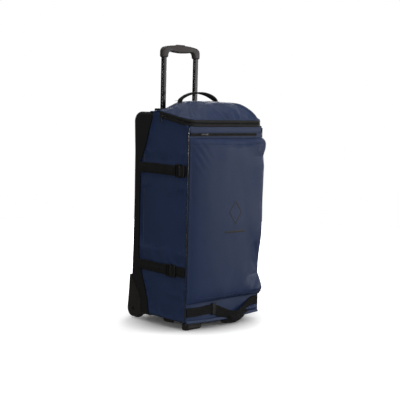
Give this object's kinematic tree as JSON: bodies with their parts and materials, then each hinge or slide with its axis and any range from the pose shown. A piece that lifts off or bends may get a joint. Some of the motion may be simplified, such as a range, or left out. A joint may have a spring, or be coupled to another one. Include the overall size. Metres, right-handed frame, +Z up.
{
  "type": "wheeled travel duffel",
  "caption": "Soft travel duffel on a hard back shell, with two wheels, a telescopic trolley handle, a zipped lid, a front pocket and buckled side straps.",
  "frame": {"origin": "middle of the footprint, on the ground", "axes": "+Z up along the handle, front pocket towards -Y, wheels towards +Y, X across the bag"},
  "size_m": [0.397, 0.3652, 1.0475],
  "materials": {
    "navy_fabric": "coated polyester, soft sheen",
    "webbing": "woven, matt",
    "lining": "plain weave",
    "shell_plastic": "moulded, fine grain",
    "black_plastic": "moulded, satin",
    "grip_plastic": "soft touch",
    "handle_tube": "gloss black",
    "guide_aluminium": "mill finish",
    "steel": "bright",
    "tyre": "polyurethane, satin"
  },
  "bodies": {
    "bag": {"axle_left": "steel", "axle_right": "steel", "back_shell": "shell_plastic", "base_handle": "webbing", "base_skid_left": "black_plastic", "base_skid_right": "black_plastic", "base_tray": "black_plastic", "buckle_socket_lower_left": "black_plastic", "buckle_socket_lower_right": "black_plastic", "buckle_socket_upper_left": "black_plastic", "buckle_socket_upper_right": "black_plastic", "front_foot_left": "black_plastic", "front_foot_right": "black_plastic", "front_pocket": "navy_fabric", "front_wall": "navy_fabric", "guide_foot_left": "black_plastic", "guide_foot_right": "black_plastic", "guide_tube_left": "guide_aluminium", "guide_tube_right": "guide_aluminium", "lid_hinge_strip": "navy_fabric", "liner_panel": "lining", "pocket_zip_tape": "webbing", "side_panel_left": "navy_fabric", "side_panel_right": "navy_fabric", "top_bezel": "black_plastic", "wheel_housing_left": "shell_plastic", "wheel_housing_right": "shell_plastic", "zip_band_body": "webbing"},
    "handle": {"grip": "grip_plastic", "inner_tube_left": "handle_tube", "inner_tube_right": "handle_tube", "tube_plug_left": "black_plastic", "tube_plug_right": "black_plastic"},
    "button": {"release_button": "black_plastic", "push_rod_left": "steel", "push_rod_right": "steel"},
    "pin_left": {"lock_pin_left": "steel"},
    "pin_right": {"lock_pin_right": "steel"},
    "wheel_left": {"bearing_left_inner": "steel", "bearing_left_outer": "steel", "hub_left": "black_plastic", "tyre_left": "tyre"},
    "wheel_right": {"bearing_right_inner": "steel", "bearing_right_outer": "steel", "hub_right": "black_plastic", "tyre_right": "tyre"},
    "lid": {"lid_shell": "navy_fabric", "haul_handle": "webbing", "zip_band_lid": "webbing"},
    "lid_slider": {"lid_zip_slider": "black_plastic"},
    "pocket_slider": {"pocket_zip_slider": "black_plastic"},
    "strap_upper_left": {"buckle_prong_upper_left": "black_plastic", "strap_web_upper_left": "webbing"},
    "strap_upper_right": {"buckle_prong_upper_right": "black_plastic", "strap_web_upper_right": "webbing"},
    "strap_lower_left": {"buckle_prong_lower_left": "black_plastic", "strap_web_lower_left": "webbing"},
    "strap_lower_right": {"buckle_prong_lower_right": "black_plastic", "strap_web_lower_right": "webbing"}
  },
  "joints": [
    {"name": "handle_slide", "type": "slide", "parent": "bag", "child": "handle", "axis": [0, 0, 1], "range_m": [-0.19, 0]},
    {"name": "button_press", "type": "slide", "parent": "handle", "child": "button", "axis": [0, 0, 1], "range_m": [-0.004, 0], "stiffness_N_per_m": 900, "springref_m": 0.003},
    {"name": "pin_left_slide", "type": "slide", "parent": "handle", "child": "pin_left", "axis": [1, 0, 0], "range_m": [0, 0.004]},
    {"name": "pin_right_slide", "type": "slide", "parent": "handle", "child": "pin_right", "axis": [-1, 0, 0], "range_m": [0, 0.004]},
    {"name": "wheel_left_spin", "type": "hinge", "parent": "bag", "child": "wheel_left", "pos_m": [-0.168, 0.14465, 0.038], "axis": [1, 0, 0], "continuous": true},
    {"name": "wheel_right_spin", "type": "hinge", "parent": "bag", "child": "wheel_right", "pos_m": [0.168, 0.14465, 0.038], "axis": [1, 0, 0], "continuous": true},
    {"name": "lid_hinge", "type": "hinge", "parent": "bag", "child": "lid", "pos_m": [0, 0.08265, 0.79573], "axis": [-1, 0, 0], "range_deg": [0, 65]},
    {"name": "lid_zip_slide", "type": "slide", "parent": "bag", "child": "lid_slider", "axis": [0, -0.9837, -0.18], "range_m": [0, 0.1]},
    {"name": "pocket_zip_slide", "type": "slide", "parent": "bag", "child": "pocket_slider", "axis": [1, 0, 0], "range_m": [-0.04, 0.24]},
    {"name": "buckle_upper_left_pull", "type": "slide", "parent": "bag", "child": "strap_upper_left", "axis": [0, 1, 0], "range_m": [0, 0.03]},
    {"name": "buckle_upper_right_pull", "type": "slide", "parent": "bag", "child": "strap_upper_right", "axis": [0, 1, 0], "range_m": [0, 0.03]},
    {"name": "buckle_lower_left_pull", "type": "slide", "parent": "bag", "child": "strap_lower_left", "axis": [0, 1, 0], "range_m": [0, 0.03]},
    {"name": "buckle_lower_right_pull", "type": "slide", "parent": "bag", "child": "strap_lower_right", "axis": [0, 1, 0], "range_m": [0, 0.03]}
  ],
  "couplings": [
    {"joint": "pin_left_slide", "follows": "button_press", "ratio": -1},
    {"joint": "pin_right_slide", "follows": "button_press", "ratio": -1}
  ]
}
